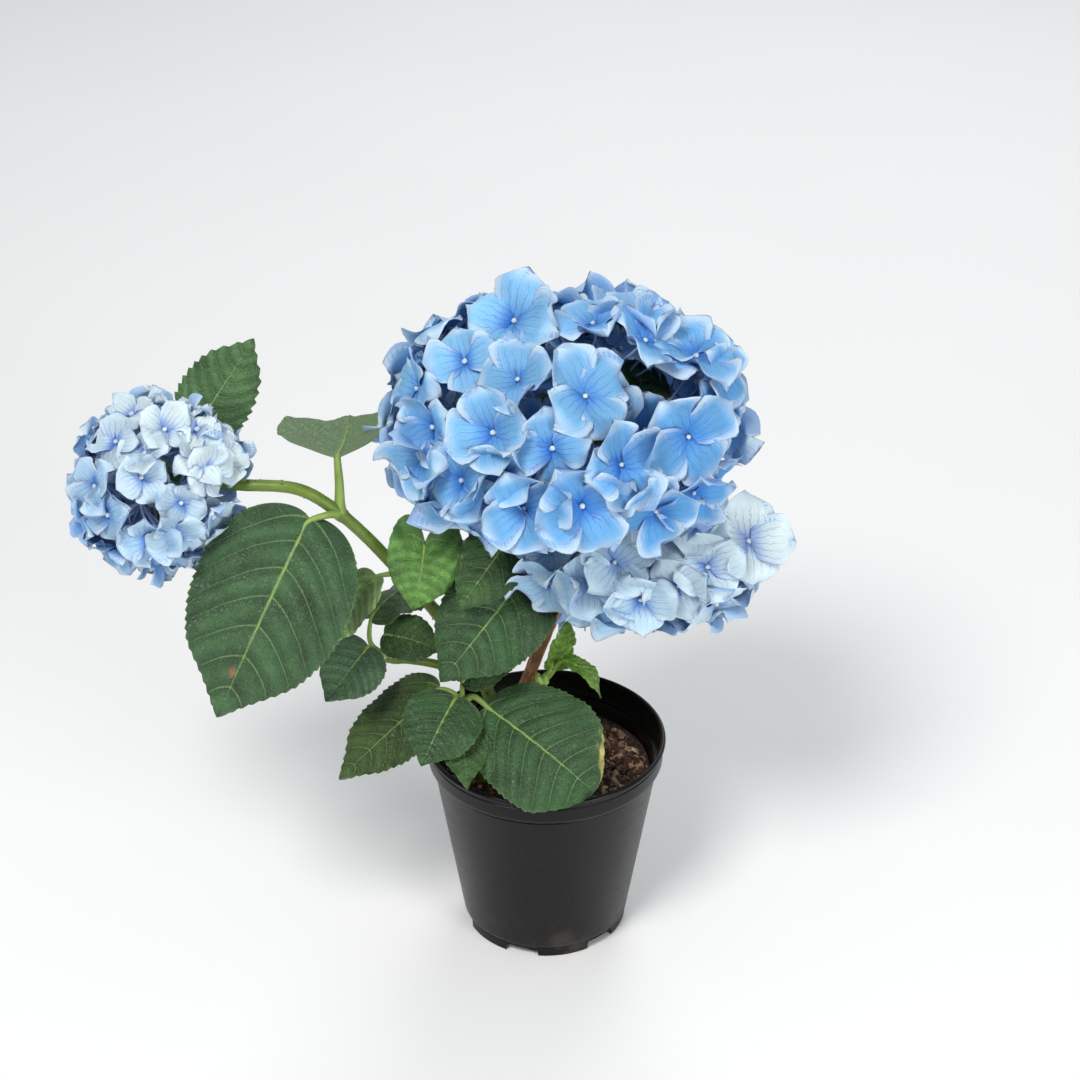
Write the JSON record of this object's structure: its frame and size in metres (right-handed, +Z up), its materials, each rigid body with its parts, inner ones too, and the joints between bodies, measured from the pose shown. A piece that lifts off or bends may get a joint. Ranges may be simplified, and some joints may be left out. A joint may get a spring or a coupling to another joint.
{
  "type": "potted hydrangea shrub",
  "caption": "Young potted hydrangea: canes rise from a black nursery pot of mix, with broad toothed leaves, a large blue mophead bloom and a smaller pale one on a long side arm.",
  "frame": {"origin": "middle of the pot's flat underside", "axes": "+Z up along the pot's axis, +X to the right as seen from the front, +Y away from the front"},
  "size_m": [0.3642, 0.1894, 0.3833],
  "materials": {
    "pot_plastic": "black satin plastic, a little dusty",
    "potting_mix": "damp dark mix of bark and peat with perlite",
    "bark": "reddish brown flaking bark",
    "green_cane": "green young cane with dark lenticels",
    "leaf": "matt leaf, paler veins",
    "young_leaf": "bright young leaf",
    "blue_sepal": "light blue sepals with whitish rims",
    "pale_sepal": "pale blue sepals"
  },
  "bodies": {
    "root": {"pot": "pot_plastic", "potting_mix": "potting_mix", "main_stem_lower": "bark", "main_stem_middle": "bark", "main_stem_upper": "bark", "left_arm_lower": "green_cane", "left_arm_middle": "green_cane", "left_arm_outer": "green_cane", "left_side_shoot": "green_cane", "low_front_shoot": "green_cane", "back_shoot": "green_cane", "leaves_arm_pair": "leaf", "leaves_curled_pair": "leaf", "leaves_side_shoot": "leaf", "leaves_low_shoot": "leaf", "leaves_centre": "leaf", "leaves_upper": "leaf", "leaves_back_shoot": "leaf", "leaves_by_left_bloom": "leaf", "leaves_sprout": "young_leaf", "bloom_main": "blue_sepal", "bloom_lower": "pale_sepal", "bloom_left": "pale_sepal"}
  },
  "joints": []
}
